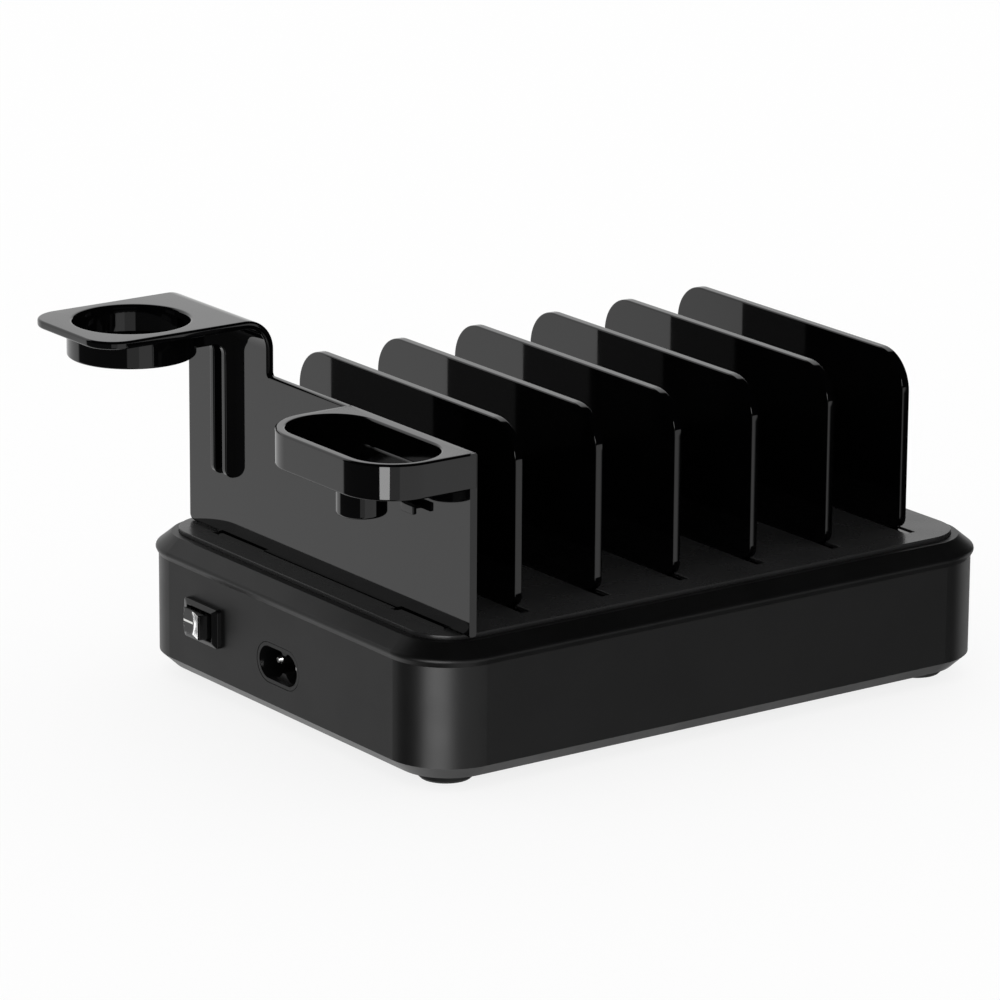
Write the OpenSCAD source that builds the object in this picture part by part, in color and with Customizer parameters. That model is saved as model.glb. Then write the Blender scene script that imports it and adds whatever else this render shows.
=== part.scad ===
// Charging station organizer: a mains powered base with six outlets, a row of
// six upright dividers and one tall accessory holder with a watch arm and a pocket.
// Z is up, Z = 0 is under the feet, and the origin lies under the middle of the whole part.
// +X is the side with the switch and the mains inlet, -Y is the side with the outlets.

/* [Base] */
// Length of the base along X
base_l = 172; // [166:1:184]
// Width of the base along Y
base_w = 129.6; // [126:0.2:140]
// Corner radius of the base, seen from above
base_r = 16; // [14:0.5:18]
// Height of the lower case, from its underside to the seam
case_h = 28.5; // [28:0.5:36]
// Wall thickness of the lower case
case_wall = 2.4; // [2:0.1:2.8]
// Floor thickness of the lower case
floor_t = 2.4; // [2:0.1:3]
// How far the bottom bevel goes in
skirt_in = 3.8; // [2:0.1:4.4]
// Height of the bottom bevel
skirt_h = 3.5; // [2:0.1:5]

/* [Top cover] */
// Height of the band above the seam
band_h = 1.6; // [1.4:0.1:4]
// How far the band stands out past the wall at its widest
band_out = 0.75; // [0.3:0.05:1]
// Height of the bevel above the band
bevel_h = 3.7; // [3:0.1:4.5]
// How far the bevel goes in past the wall
bevel_in = 3.2; // [1.5:0.1:3.6]
// Thickness of the deck under the top plate
deck_t = 2.4; // [1.6:0.1:3]
// Depth of the lip that reaches down inside the lower case
lip_h = 3; // [2:0.5:5]
// Thickness of that lip
lip_t = 1.4; // [1:0.1:2]

/* [Top plate] */
// How far the top plate lies in from the wall
plate_in = 5.1; // [4.4:0.1:6]
// Thickness of the top plate
plate_t = 2; // [1.6:0.1:3]
// How far the top plate stands up from the rim
plate_up = 1.1; // [0.6:0.1:1.4]
// Bevel along the top plate's edge
plate_bevel = 0.4; // [0.2:0.1:0.5]

/* [Feet] */
// Height of the feet below the case
foot_h = 2.4; // [1.5:0.1:4]
// Radius of a foot
foot_r = 6.8; // [5:0.1:8]
// Distance of a foot's centre from the walls
foot_in = 14; // [12:0.5:18]
// Depth of the pocket that a foot is glued into
foot_pocket = 0.8; // [0.4:0.1:1.2]

/* [Dividers] */
// Distance from the holder's plate to the first divider
first_pitch = 22.4; // [20:0.1:26]
// Distance of the last divider from the far end of the base
row_in = 18.2; // [16:0.1:30]
// Thickness of a divider
divider_t = 2.3; // [1.8:0.1:3]
// Distance of the dividers' back ends from the back wall
row_back = 15.15; // [10:0.05:24]
// Distance of the dividers' front ends from the front wall
row_front = 22.45; // [18:0.05:30]
// Height of a divider above the top plate
divider_h = 45.3; // [35:0.1:70]
// Radius of its top corners
divider_r = 10; // [4:0.5:16]
// Radius of its lower corners
divider_low_r = 3; // [1:0.5:4]
// How far a tongue is longer than its divider, at each end
tongue_past = 3; // [1:0.5:4]
// Depth of the tongues in the slots
tongue_h = 10; // [8:0.5:12]

/* [Accessory holder] */
// Distance of the holder's front face from the end of the base
holder_in = 12.4; // [11:0.1:13]
// Thickness of the holder's plate and arm
holder_t = 2; // [1.6:0.1:2.6]
// Distance of the plate's back end from the back wall
holder_back = 2.3; // [1:0.1:6]
// Distance of the plate's front end from the front wall
holder_front = 6.2; // [4:0.1:9]
// Height of the low part of the plate above the top plate
holder_h = 44.8; // [35:0.1:60]
// Radius of the plate's lower corners
holder_low_r = 1.6; // [0.5:0.1:3]
// Height of the arm's upper face above the top plate
arm_h = 59.3; // [52:0.1:75]
// Width of the arm
arm_w = 35.8; // [35:0.2:45]
// How far the arm reaches out from the plate's front face
arm_reach = 46.8; // [45:0.2:60]
// Outer radius of the bend into the arm
bend_r = 8; // [5:0.5:10]
// Radius of the arm's end corners
arm_end_r = 8; // [3:0.5:12]
// Length of the two thick tabs on the plate's foot
tab_l = 20; // [12:1:30]
// How far the tabs stand out in front of the plate
tab_out = 1.3; // [0.8:0.1:1.6]

/* [Charging puck seat] */
// Radius of the hole for the charging puck
puck_r = 14.3; // [13:0.1:15]
// Distance from the arm's end to the middle of the hole
puck_in = 19.2; // [18:0.1:22]
// Wall of the collar round the hole
collar_t = 1.45; // [1.2:0.05:2]
// Height of the collar, with the arm's thickness
collar_h = 8.6; // [6:0.1:10]
// How far the lip under the puck reaches in
puck_lip = 2; // [1:0.1:3]
// Thickness of that lip
puck_lip_t = 1.6; // [1:0.1:2]

/* [Cable guide] */
// Thickness of each guide rib
rib_t = 1.8; // [1.2:0.1:2.4]
// Width of the channel between the ribs
channel_w = 3.4; // [2.5:0.1:5]
// How far the ribs stand out from the plate
rib_out = 2.9; // [2:0.1:4]
// Depth of the ribs under the arm
rib_deep = 7; // [4:0.1:8]
// Height of the ribs' lower end above the top plate
rib_foot = 15.7; // [10:0.1:30]
// Rounding of the ribs' lower end
rib_end_r = 2.5; // [1:0.1:2.8]
// Fillet in the ribs' inner corner
rib_fillet = 3; // [1:0.5:5]

/* [Earbud pocket] */
// Length of the pocket's inside along Y
pocket_l = 46; // [40:0.5:48]
// Width of the pocket's inside along X
pocket_w = 22.4; // [18:0.2:26]
// Wall at the pocket's front
pocket_wall = 2.5; // [2:0.1:4]
// Wall between the pocket and the plate
pocket_side = 1.6; // [1:0.1:4]
// Wall at the pocket's two ends
pocket_end = 3; // [2:0.1:4]
// Height of the pocket
pocket_h = 8.8; // [7:0.2:16]
// Floor of the pocket
pocket_floor = 2; // [1.2:0.1:3]
// Radius of the pocket's outer corners
pocket_r = 14; // [8:0.5:14]
// Radius of the plug boss under the pocket
boss_r = 6.1; // [5.4:0.1:8]
// Height of the plug boss below the pocket
boss_h = 9.6; // [4:0.2:12]
// Length of the opening for the plug
plug_l = 8.4; // [6:0.1:9]
// Width of the opening for the plug
plug_w = 5.4; // [4:0.1:6.5]

/* [Switch] */
// Length of the switch's bezel along Y
bezel_l = 15; // [14.6:0.1:18]
// Height of the bezel
bezel_h = 10; // [9.6:0.1:13]
// How far the bezel stands out from the wall
bezel_out = 1.5; // [0.8:0.1:2.5]
// Height of the switch's middle above the table
switch_z = 19.1; // [15:0.1:20]
// Distance of the switch from the middle of the side
switch_y = 32.5; // [28:0.5:36]
// Angle that the rocker leans at rest
rocker_lean = 11; // [6:0.5:12]

/* [Mains inlet] */
// Length of the inlet's recess
inlet_l = 16.4; // [15.5:0.1:17]
// Height of that recess
inlet_h = 8.2; // [7.6:0.1:8.8]
// Depth of that recess
inlet_deep = 10; // [8:0.1:11]
// Height of the inlet's middle above the table
inlet_z = 16.3; // [13:0.1:19]
// Half height of the waist between the two keys in the recess
inlet_waist = 2.3; // [1.5:0.1:3.5]
// How far the keys' fronts lie in from the wall
key_in = 1.9; // [0:0.1:3]
// Distance between the inlet's pins
pin_pitch = 8.6; // [8:0.1:9]
// How far the pins' tips lie in from the wall
pin_in = 2.8; // [0.5:0.1:4]
// Diameter of a pin
pin_d = 2.4; // [2.2:0.1:2.6]

/* [Outlets] */
// Height of the outlets' middle above the table
outlet_z = 19.1; // [17:0.1:21]
// Outer width of an outlet's metal shell
outlet_w = 13.1; // [12.8:0.1:14]
// Outer height of that shell
outlet_h = 5.7; // [5.5:0.1:6.5]
// Depth of that shell
outlet_deep = 14; // [12:0.5:17]
// Sheet thickness of that shell
outlet_t = 0.4; // [0.3:0.05:0.6]

/* [Clearances] */
// Gap on each side of a tongue in its slot
slot_gap = 0.2; // [0.15:0.05:0.4]
// Gap round parts that are set into a cut-out
set_gap = 0.15; // [0.1:0.05:0.3]
// Gap under a part that stands over its seat
seat_gap = 0.1; // [0.05:0.05:0.3]

/* [Hidden] */
$fn = 64;

// Small overlap that joins two shapes of one piece
weld = 0.4;
// Slice that a cut goes past a face
past = 1;

// Heights, from the table up
case_z = foot_h;
floor_z = case_z + floor_t;
seam_z = case_z + case_h;
band_z = seam_z + band_h;
rim_z = band_z + bevel_h;
top_z = rim_z + plate_up;
plate_z = top_z - plate_t;
deck_z = plate_z - deck_t;
tongue_z = top_z - tongue_h;
socket_z = tongue_z - 2*seat_gap;
socket_wall = 1.5;
socket_foot = socket_z - socket_wall;

// Places along X
wall_x = base_l/2;
holder_x = wall_x - holder_in;
arm_end = holder_x + arm_reach;
first_x = holder_x - holder_t/2 - first_pitch;
last_x = row_in - wall_x;
divider_n = 6;
divider_pitch = (first_x - last_x)/(divider_n - 1);
function divider_x(i) = first_x - (i - 1)*divider_pitch;
function outlet_x(i) = first_x - (i - 1.5)*divider_pitch;
middle_x = (arm_end - (wall_x + band_out))/2;
placed = [-middle_x, 0, 0];

// Places along Y
divider_l = base_w - row_back - row_front;
row_y = (row_front - row_back)/2;
holder_w = base_w - holder_back - holder_front;
holder_y = (holder_front - holder_back)/2;

// Slots
slot_l = divider_l + 2*tongue_past + 2*slot_gap;
slot_w = divider_t + 2*slot_gap;
tongue_l = divider_l + 2*tongue_past;
tab_y = tongue_l/2 - tab_l/2;
holder_mid = holder_x - holder_t/2;

// Holder
holder_top = top_z + holder_h;
arm_top = top_z + arm_h;
arm_low = arm_top - holder_t;
arm_y = holder_y - holder_w/2 + arm_w/2;
puck_x = arm_end - puck_in;
collar_r = puck_r + collar_t;
collar_z = arm_top - collar_h;
bend_x = holder_x - holder_t + bend_r;
bend_z = arm_top - bend_r;
pocket_y = holder_y + holder_w/2 - pocket_l/2 - pocket_end;
pocket_x = holder_x + pocket_side + pocket_w/2;
pocket_z = holder_top - pocket_h;
boss_z = pocket_z - boss_h;
boss_chamfer = 0.8;

// Screws of the case, hidden under the feet and a little nearer to the corners
screw_out = 1.2;
screw_x = base_l/2 - foot_in + screw_out;
screw_y = base_w/2 - foot_in + screw_out;
screw_r = 1.4;
screw_head_r = 2.8;
screw_head_h = 2.2;
screw_seat = case_z + 5.6;
post_r = 4;
post_top = screw_seat + 4;
cover_boss_r = 3;
screw_top = post_top + 8;

// Switch
body_gap = 0.75;
switch_l = bezel_l - 2*body_gap - 2*set_gap;
switch_h = bezel_h - 2*body_gap + 0.1;
switch_wall = 0.65;
switch_deep = 12;
rocker_x = wall_x - 1;
rocker_gap = 0.25;
pivot_r = 0.9;
pivot_gap = 0.1;
pivot_half = switch_h/2 - 0.1;

// Inlet
inlet_rim = 0.9;
inlet_block = 13;
inlet_flange = 1.6;

// Boards
board_t = 1.6;
power_z = floor_z + 4.4;
power_top = power_z + board_t;
power_x = -4;
power_y = 13;
power_l = base_l - 52;
power_w = base_w - 55.6;
power_left = power_x - power_l/2;
power_right = power_x + power_l/2;
power_back = power_y + power_w/2;
power_front = power_y - power_w/2;
outlet_board_z = outlet_z - outlet_h/2 - board_t;
outlet_board_w = 20;
outlet_board_y = -base_w/2 + case_wall + 0.6 + outlet_board_w/2;
outlet_board_l = 5*divider_pitch + outlet_w + 2;
outlet_mid = (outlet_x(1) + outlet_x(6))/2;
board_screw_r = 1.2;
board_post_r = 3;
board_hole_in = 4;

gloss_black = [0.05, 0.05, 0.055];
satin_black = [0.12, 0.12, 0.12];
rubber_black = [0.07, 0.07, 0.07];
steel = [0.72, 0.73, 0.75];
nickel = [0.82, 0.81, 0.78];
board_green = [0.08, 0.33, 0.2];
ferrite = [0.2, 0.2, 0.21];
tape_yellow = [0.88, 0.74, 0.2];
copper = [0.75, 0.42, 0.22];

// Flat outline with rounded corners
module rounded_rect(l, w, r) {
    square([l - 2*r, w], center = true);
    square([l, w - 2*r], center = true);
    for (sx = [-1, 1], sy = [-1, 1])
        translate([sx*(l/2 - r), sy*(w/2 - r)]) circle(r);
}

// Flat slot with round ends, along X
module round_slot(l, w) {
    square([l - w, w], center = true);
    for (s = [-1, 1]) translate([s*(l - w)/2, 0]) circle(w/2);
}

// Solid on the base's outline whose edge follows steps, a list of [inset, height]
module moulded(l, w, r, steps) {
    low = steps[0][1];
    high = steps[len(steps) - 1][1];
    for (sx = [-1, 1], sy = [-1, 1])
        translate([sx*(l/2 - r), sy*(w/2 - r), 0]) rotate_extrude()
            polygon(concat([[0, low]], [for (s = steps) [r - s[0], s[1]]], [[0, high]]));
    rotate([90, 0, 90]) linear_extrude(l - 2*r, center = true) edge_outline(w, steps);
    rotate([90, 0, 0]) linear_extrude(w - 2*r, center = true) edge_outline(l, steps);
}

module edge_outline(w, steps) {
    n = len(steps);
    polygon(concat([for (s = steps) [w/2 - s[0], s[1]]],
        [for (i = [n - 1:-1:0]) [steps[i][0] - w/2, steps[i][1]]]));
}

// Upright block on a flat outline, from height low to height high
module upright(low, high) {
    translate([0, 0, low]) linear_extrude(high - low) children();
}

// Outline drawn in Y and Z, made solid from x0 to x1
module along_x(x0, x1) {
    translate([x0, 0, 0]) rotate([90, 0, 90]) linear_extrude(x1 - x0) children();
}

// Outline drawn in X and Z, made solid from y0 to y1
module along_y(y0, y1) {
    translate([0, y1, 0]) rotate([90, 0, 0]) linear_extrude(y1 - y0) children();
}

// Straight rod between two points
module rod(a, b, r) {
    d = b - a;
    translate(a) rotate([0, acos(d[2]/norm(d)), atan2(d[1], d[0])]) cylinder(h = norm(d), r = r, $fn = 24);
}

// Wire through a list of points, round at each bend
module wire(points, r) {
    for (i = [1:len(points) - 1]) rod(points[i - 1], points[i], r);
    for (i = [1:len(points) - 2]) translate(points[i]) sphere(r, $fn = 24);
}

// The four places that mirror about the base's middle
module four_corners(x, y) {
    for (sx = [-1, 1], sy = [-1, 1]) translate([sx*x, sy*y, 0]) children();
}

module base_outline(inset) {
    rounded_rect(base_l - 2*inset, base_w - 2*inset, base_r - inset);
}

// Lower case

module bottom_case() color(satin_black) translate(placed) difference() {
    union() {
        difference() {
            moulded(base_l, base_w, base_r, [[skirt_in, case_z], [0, case_z + skirt_h], [0, seam_z]]);
            moulded(base_l, base_w, base_r,
                [[skirt_in + case_wall - 1.2, floor_z], [case_wall, floor_z + skirt_h - 1], [case_wall, seam_z + past]]);
        }
        four_corners(screw_x, screw_y) upright(floor_z - weld, post_top) circle(post_r);
        power_board_places() upright(floor_z - weld, power_z) circle(board_post_r);
        outlet_board_places() upright(floor_z - weld, outlet_board_z) circle(board_post_r);
    }
    four_corners(screw_x, screw_y) {
        upright(case_z - past, screw_seat) circle(screw_head_r + 0.3);
        upright(case_z - past, post_top + past) circle(screw_r + set_gap);
    }
    four_corners(base_l/2 - foot_in, base_w/2 - foot_in)
        upright(case_z - past, case_z + foot_pocket) circle(foot_r + set_gap);
    power_board_places() upright(floor_z, power_z + past) circle(board_screw_r);
    outlet_board_places() upright(floor_z, outlet_board_z + past) circle(board_screw_r);
    bottom_vents();
    along_x(wall_x - case_wall - past, wall_x + past)
        translate([-switch_y, switch_z]) square([switch_l + 2*set_gap, switch_h + 2*set_gap], center = true);
    along_x(wall_x - case_wall - past, wall_x + past)
        translate([0, inlet_z]) inlet_mouth(inlet_rim + set_gap);
    for (i = [1:6]) along_y(-base_w/2 - past, -base_w/2 + case_wall + past)
        translate([outlet_x(i), outlet_z]) square([outlet_w + 2*set_gap, outlet_h + 2*set_gap], center = true);
}

// Slots for air in the floor, in two blocks
vent_n = 9;
vent_pitch = 5;
vent_l = 26;
vent_w = 2;
module bottom_vents() {
    for (side = [-1, 1], i = [0:vent_n - 1])
        translate([(i - (vent_n - 1)/2)*vent_pitch + power_x, side*vent_l*0.75 + power_y, 0])
            upright(case_z - past, floor_z + past) rotate(90) round_slot(vent_l, vent_w);
}

module foot(sx, sy) color(rubber_black) translate(placed)
    translate([sx*(base_l/2 - foot_in), sy*(base_w/2 - foot_in), 0]) rotate_extrude()
        polygon([[0, 0], [foot_r - 0.6, 0], [foot_r, 0.6], [foot_r, case_z + foot_pocket - seat_gap],
            [0, case_z + foot_pocket - seat_gap]]);

module case_screws() color(steel) translate(placed) four_corners(screw_x, screw_y) difference() {
    union() {
        upright(screw_seat - screw_head_h, screw_seat - 0.02) circle(screw_head_r);
        upright(screw_seat - screw_head_h, screw_top) circle(screw_r);
    }
    upright(screw_seat - screw_head_h - past, screw_seat - screw_head_h + 1) cross_recess(3.2, 0.8);
}

module cross_recess(l, w) {
    square([l, w], center = true);
    square([w, l], center = true);
}

// Top cover and plate

// The band is widest at band_z and is rounded over there
band_steps = 7;
band_round = 1;
band_low_turn = -27;
band_high_turn = 50;
function band_edge() = concat([[0, seam_z]],
    [for (i = [0:band_steps]) let (a = band_low_turn + (band_high_turn - band_low_turn)*i/band_steps)
        [-band_out + band_round*(1 - cos(a)), band_z + band_round*sin(a)]],
    [[bevel_in, rim_z]]);

module top_cover() color(satin_black) translate(placed) difference() {
    union() {
        difference() {
            moulded(base_l, base_w, base_r, band_edge());
            upright(seam_z - past, deck_z) base_outline(case_wall + set_gap + lip_t);
        }
        difference() {
            upright(seam_z - lip_h, deck_z) base_outline(case_wall + set_gap);
            upright(seam_z - lip_h - past, deck_z + past) base_outline(case_wall + set_gap + lip_t);
        }
        upright(socket_foot, deck_z + weld) {
            for (i = [1:divider_n]) translate([divider_x(i), row_y])
                square([slot_w + 2*socket_wall, slot_l + 2*socket_wall], center = true);
            holder_slot(socket_wall);
        }
        four_corners(screw_x, screw_y) upright(post_top + seat_gap, deck_z + weld) circle(cover_boss_r);
    }
    upright(plate_z, rim_z + past) base_outline(plate_in - set_gap);
    upright(socket_z, plate_z + past) all_slots();
    four_corners(screw_x, screw_y) upright(post_top, screw_top + 2) circle(screw_r + 0.02);
}

module all_slots() {
    for (i = [1:divider_n]) translate([divider_x(i), row_y]) square([slot_w, slot_l], center = true);
    holder_slot(0);
}

// Outline of the holder's slot, which is wider where the two tabs go in
module holder_slot(grow) {
    gap = slot_gap + grow;
    translate([holder_x - holder_t - gap, row_y - tongue_l/2 - gap])
        square([holder_t + 2*gap, tongue_l + 2*gap]);
    for (s = [-1, 1]) translate([holder_x - holder_t - gap, row_y + s*tab_y - tab_l/2 - gap])
        square([holder_t + tab_out + 2*gap, tab_l + 2*gap]);
}

module top_plate() color(gloss_black) translate(placed) difference() {
    moulded(base_l - 2*plate_in, base_w - 2*plate_in, base_r - plate_in,
        [[0, plate_z + 0.02], [0, top_z - plate_bevel], [plate_bevel*0.3, top_z - plate_bevel*0.3],
            [plate_bevel, top_z]]);
    upright(plate_z - past, top_z + past) all_slots();
}

// Dividers

module divider(i) color(gloss_black) translate(placed)
    along_x(divider_x(i) - divider_t/2, divider_x(i) + divider_t/2) divider_outline();

module divider_outline() {
    foot = top_z + seat_gap;
    difference() {
        translate([row_y - divider_l/2, foot]) square([divider_l, divider_h - seat_gap]);
        for (s = [-1, 1]) {
            translate([row_y + s*divider_l/2, top_z + divider_h]) corner_cut(divider_r);
            translate([row_y + s*divider_l/2, foot]) corner_cut(divider_low_r);
        }
    }
    translate([row_y - divider_l/2 + divider_low_r, tongue_z]) square([divider_l - 2*divider_low_r, tongue_h + 1]);
    translate([row_y - tongue_l/2, tongue_z]) square([tongue_l, tongue_h - 0.4]);
}

// What is taken off a square corner to round it: the square less its inscribed quarter circles
module corner_cut(r) {
    difference() {
        square([2*r, 2*r], center = true);
        for (sx = [-1, 1], sy = [-1, 1]) translate([sx*r, sy*r]) circle(r);
    }
}

// Accessory holder

module accessory_holder() color(gloss_black) translate(placed) difference() {
    union() {
        holder_plate();
        holder_arm();
        guide_ribs();
        pocket_outside();
        cable_hook();
    }
    puck_opening();
    pocket_inside();
}

module holder_plate() {
    foot = top_z + seat_gap;
    y0 = holder_y - holder_w/2;
    along_x(holder_x - holder_t, holder_x) {
        difference() {
            translate([y0, foot]) square([holder_w, holder_top - foot]);
            for (y = [y0, y0 + holder_w]) translate([y, foot]) corner_cut(holder_low_r);
        }
        translate([y0, foot + holder_low_r]) square([arm_w, bend_z - foot - holder_low_r]);
        translate([row_y - tongue_l/2, tongue_z]) square([tongue_l, tongue_h + 1]);
    }
    for (s = [-1, 1]) along_x(holder_x - weld, holder_x + tab_out)
        translate([row_y + s*tab_y - tab_l/2, tongue_z]) square([tab_l, tongue_h - 0.4]);
}

module holder_arm() {
    along_y(arm_y - arm_w/2, arm_y + arm_w/2) translate([bend_x, bend_z]) difference() {
        circle(bend_r);
        circle(bend_r - holder_t);
        translate([0, -bend_r - past]) square(2*bend_r + 2*past);
        translate([-bend_r - past, -2*bend_r]) square([3*bend_r, 2*bend_r]);
    }
    upright(arm_low, arm_top) {
        translate([bend_x, arm_y - arm_w/2]) square([arm_end - arm_end_r - bend_x, arm_w]);
        translate([bend_x, arm_y - arm_w/2 + arm_end_r]) square([arm_end - bend_x, arm_w - 2*arm_end_r]);
        for (s = [-1, 1]) translate([arm_end - arm_end_r, arm_y + s*(arm_w/2 - arm_end_r)]) circle(arm_end_r);
    }
    upright(collar_z, arm_low + weld) translate([puck_x, arm_y]) circle(collar_r);
}

// Hole for the puck, the lip that it rests on and the gap for its cable
module puck_opening() {
    upright(collar_z + puck_lip_t, arm_top + past) translate([puck_x, arm_y]) circle(puck_r);
    upright(collar_z - past, arm_top) translate([puck_x, arm_y]) circle(puck_r - puck_lip);
    upright(collar_z - past, arm_low) translate([puck_x - collar_r - past, arm_y - channel_w/2])
        square([collar_r, channel_w]);
}

// Two L-shaped ribs that lead the cable along the arm and down the plate
module guide_ribs() {
    for (s = [-1, 1]) {
        y = arm_y + s*(channel_w + rib_t)/2;
        along_y(y - rib_t/2, y + rib_t/2) rib_outline();
    }
}

module rib_outline() {
    low = top_z + rib_foot;
    difference() {
        union() {
            translate([holder_x - weld, low]) square([rib_out + weld, arm_low - low]);
            translate([holder_x, arm_low - rib_deep])
                square([puck_x - puck_r - collar_t/2 - holder_x, rib_deep + weld]);
            translate([holder_x + rib_out, arm_low - rib_deep - rib_fillet]) difference() {
                square(rib_fillet);
                translate([rib_fillet, 0]) circle(rib_fillet);
            }
        }
        translate([holder_x + rib_out, low]) corner_cut(rib_end_r);
        translate([bend_x, bend_z]) difference() {
            translate([-2*bend_r, 0]) square(2*bend_r);
            circle(bend_r - holder_t/2);
        }
    }
}

module pocket_outside() {
    reach = pocket_side + pocket_w + pocket_wall;
    half = pocket_l/2 + pocket_end;
    upright(pocket_z, holder_top) {
        translate([holder_x - weld, pocket_y - half]) square([reach - pocket_r + weld, 2*half]);
        translate([holder_x - weld, pocket_y - half + pocket_r]) square([reach + weld, 2*(half - pocket_r)]);
        for (s = [-1, 1]) translate([holder_x + reach - pocket_r, pocket_y + s*(half - pocket_r)])
            circle(pocket_r);
    }
    translate([pocket_x, pocket_y, 0]) rotate_extrude()
        polygon([[0, boss_z], [boss_r - boss_chamfer, boss_z], [boss_r, boss_z + boss_chamfer],
            [boss_r, pocket_z + weld], [0, pocket_z + weld]]);
}

module pocket_inside() {
    upright(pocket_z + pocket_floor, holder_top + past) translate([pocket_x, pocket_y])
        rotate(90) round_slot(pocket_l, pocket_w);
    upright(boss_z - past, pocket_z + pocket_floor + past) translate([pocket_x, pocket_y])
        rotate(90) round_slot(plug_l, plug_w);
}

// Small hook on the plate below the pocket: a stem that turns sideways into a finger
hook_out = 4.2;
hook_t = 1.3;
hook_w = 1.8;
hook_h = 2.4;
hook_l = 7.8;
hook_side = 1.7;
hook_drop = 8.9;
module cable_hook() {
    z = pocket_z - hook_drop - hook_h/2;
    y = pocket_y + hook_side;
    along_x(holder_x - weld, holder_x + hook_out) translate([y, z]) square([hook_w, hook_h]);
    along_x(holder_x + hook_out - hook_t, holder_x + hook_out) translate([y, z]) square([hook_l, hook_h]);
}

// Switch

module switch_frame() color(satin_black) translate(placed) difference() {
    union() {
        along_x(wall_x + 0.02, wall_x + bezel_out)
            translate([-switch_y, switch_z]) rounded_rect(bezel_l, bezel_h, 0.8);
        along_x(wall_x - switch_deep, wall_x + bezel_out - 0.5)
            translate([-switch_y, switch_z]) square([switch_l, switch_h], center = true);
    }
    along_x(wall_x - switch_deep + 2, wall_x + bezel_out + past) translate([-switch_y, switch_z])
        square([switch_l - 2*switch_wall, switch_h - 2*switch_wall], center = true);
    translate([rocker_x, -switch_y, 0]) upright(switch_z - switch_h, switch_z + switch_h)
        circle(pivot_r + pivot_gap);
}

// The rocker's outline, seen from above: out along X, along Y, about its own pivot
rocker_half = (switch_l - 2*switch_wall)/2 - 0.55;
rocker_rise = bezel_out + 2.15;
module switch_rocker() color(gloss_black) translate(placed)
    translate([rocker_x, -switch_y, switch_z]) rotate(-rocker_lean) {
        linear_extrude(switch_h - 2*switch_wall - 2*rocker_gap, center = true)
            polygon([[-2.6, -2.4], [-0.6, -rocker_half], [rocker_rise, -rocker_half + 0.3],
                [rocker_rise - 0.5, -rocker_half/2], [rocker_rise - 0.75, 0],
                [rocker_rise - 0.5, rocker_half/2], [rocker_rise, rocker_half - 0.3],
                [-0.6, rocker_half], [-2.6, 2.4]]);
        // The pivots, which turn in the two round holes of the frame
        upright(-pivot_half, pivot_half) circle(pivot_r);
    }

terminal_pitch = 6;
module switch_terminals() color(nickel) translate(placed)
    for (s = [-1, 1]) translate([wall_x - switch_deep - 6, -switch_y + s*terminal_pitch/2, switch_z])
        along_x(0, 5.98) square([0.8, 4.8], center = true);

// Mains inlet

// Outline of the recess at the wall
module inlet_mouth(grow) {
    round_slot(inlet_l + 2*grow, inlet_h + 2*grow);
}

// The recess behind the keys: two round lobes joined by a waist
module figure_eight() {
    for (s = [-1, 1]) translate([s*(inlet_l - inlet_h)/2, 0]) circle(inlet_h/2);
    square([inlet_l - inlet_h, 2*inlet_waist], center = true);
}

module inlet_body() color(satin_black) translate(placed) translate([0, 0, inlet_z]) difference() {
    union() {
        along_x(wall_x - inlet_block, wall_x - 0.05) inlet_mouth(inlet_rim);
        along_x(wall_x - inlet_block, wall_x - case_wall - 0.02)
            rounded_rect(inlet_l + 2*inlet_rim + 3, inlet_h + 2*inlet_rim + 2, 1.5);
    }
    along_x(wall_x - key_in, wall_x + past) inlet_mouth(0);
    along_x(wall_x - inlet_deep, wall_x) figure_eight();
    for (s = [-1, 1]) along_x(wall_x - inlet_block - past, wall_x) translate([s*pin_pitch/2, 0])
        circle(pin_d/2 + 0.02);
}

module inlet_pins() color(nickel) translate(placed) for (s = [-1, 1])
    translate([0, s*pin_pitch/2, inlet_z]) rotate([0, 90, 0]) rotate_extrude()
        polygon([[0, wall_x - inlet_block - 5], [pin_d/2, wall_x - inlet_block - 5],
            [pin_d/2, wall_x - pin_in - 0.8], [pin_d/2 - 0.5, wall_x - pin_in], [0, wall_x - pin_in]]);

// Outlets

module outlet_shell(i) color(nickel) translate(placed) difference() {
    along_y(-base_w/2 + 0.2, -base_w/2 + 0.2 + outlet_deep)
        translate([outlet_x(i), outlet_z + 0.01]) rounded_rect(outlet_w, outlet_h - 0.02, 0.6);
    along_y(-base_w/2 - past, -base_w/2 + 0.2 + outlet_deep - outlet_t)
        translate([outlet_x(i), outlet_z + 0.01]) square([outlet_w - 2*outlet_t, outlet_h - 2*outlet_t], center = true);
}

tongue_block = 3;
module outlet_tongues() color(satin_black) translate(placed) for (i = [1:6]) {
    back = -base_w/2 + 0.2 + outlet_deep - outlet_t - 0.05;
    along_y(back - tongue_block, back) translate([outlet_x(i), outlet_z])
        square([outlet_w - 2*outlet_t - 0.2, outlet_h - 2*outlet_t - 0.2], center = true);
    along_y(-base_w/2 + 1.6, back) translate([outlet_x(i), outlet_z + 1]) square([11.1, 1.84], center = true);
}

module outlet_board_places() {
    for (s = [-1, 1]) translate([outlet_mid + s*(outlet_board_l/2 - board_hole_in),
        outlet_board_y + outlet_board_w/2 - board_hole_in, 0]) children();
}

module outlet_board() color(board_green) translate(placed) difference() {
    upright(outlet_board_z + 0.02, outlet_board_z + board_t - 0.02)
        translate([outlet_mid, outlet_board_y]) square([outlet_board_l, outlet_board_w], center = true);
    outlet_board_places() upright(outlet_board_z - past, outlet_board_z + board_t + past)
        circle(board_screw_r + set_gap);
}

module board_screw(z) {
    upright(z + 0.02, z + 1.8) circle(2.4);
    upright(z - 5, z + 1.8) circle(board_screw_r - 0.02);
}

module outlet_board_screws() color(steel) translate(placed)
    outlet_board_places() board_screw(outlet_board_z + board_t);

// Power supply

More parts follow.
